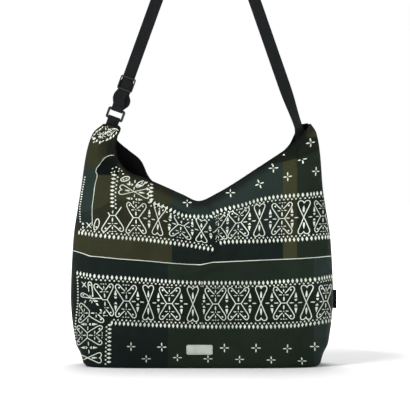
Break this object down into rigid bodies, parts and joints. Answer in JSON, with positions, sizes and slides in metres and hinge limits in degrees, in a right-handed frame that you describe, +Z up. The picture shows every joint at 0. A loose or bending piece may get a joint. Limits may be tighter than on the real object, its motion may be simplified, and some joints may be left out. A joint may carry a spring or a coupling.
{
  "type": "shoulder bag",
  "caption": "Slouchy cloth shoulder bag with a V-shaped open mouth, a dark bandana-style print and a long webbing strap adjusted by a slider.",
  "frame": {"origin": "middle of the overall box in plan, on the surface that the bag stands on", "axes": "+Z up, +X to the right when the front is looked at, the front with the label faces -Y"},
  "size_m": [0.4521, 0.136, 0.7922],
  "materials": {
    "printed_cloth": "matt plain-weave cotton, printed in off-white",
    "black_lining": "matt black cotton",
    "black_webbing": "matt ribbed webbing",
    "black_plastic": "satin moulded plastic",
    "label_cloth": "woven, matt"
  },
  "bodies": {
    "bag": {"front_panel": "printed_cloth", "back_panel": "printed_cloth", "front_lining": "black_lining", "back_lining": "black_lining", "front_edging": "black_lining", "back_edging": "black_lining", "shoulder_strap": "black_webbing", "strap_return": "black_webbing", "ring_tab": "black_webbing", "label": "label_cloth", "side_tag": "black_lining"},
    "slider": {"slider": "black_plastic", "strap_sewn_end": "black_webbing"},
    "ring": {"rectangular_loop": "black_plastic"}
  },
  "joints": [
    {"name": "slider_slide", "type": "slide", "parent": "bag", "child": "slider", "axis": [0.342, 0, 0.9397], "range_m": [-0.025, 0.22], "deforming": ["strap_return"]},
    {"name": "ring_swing", "type": "hinge", "parent": "bag", "child": "ring", "pos_m": [-0.15253, 0, 0.41869], "axis": [0.9397, 0, -0.342], "range_deg": [-80, 80], "deforming": ["strap_return"]}
  ]
}
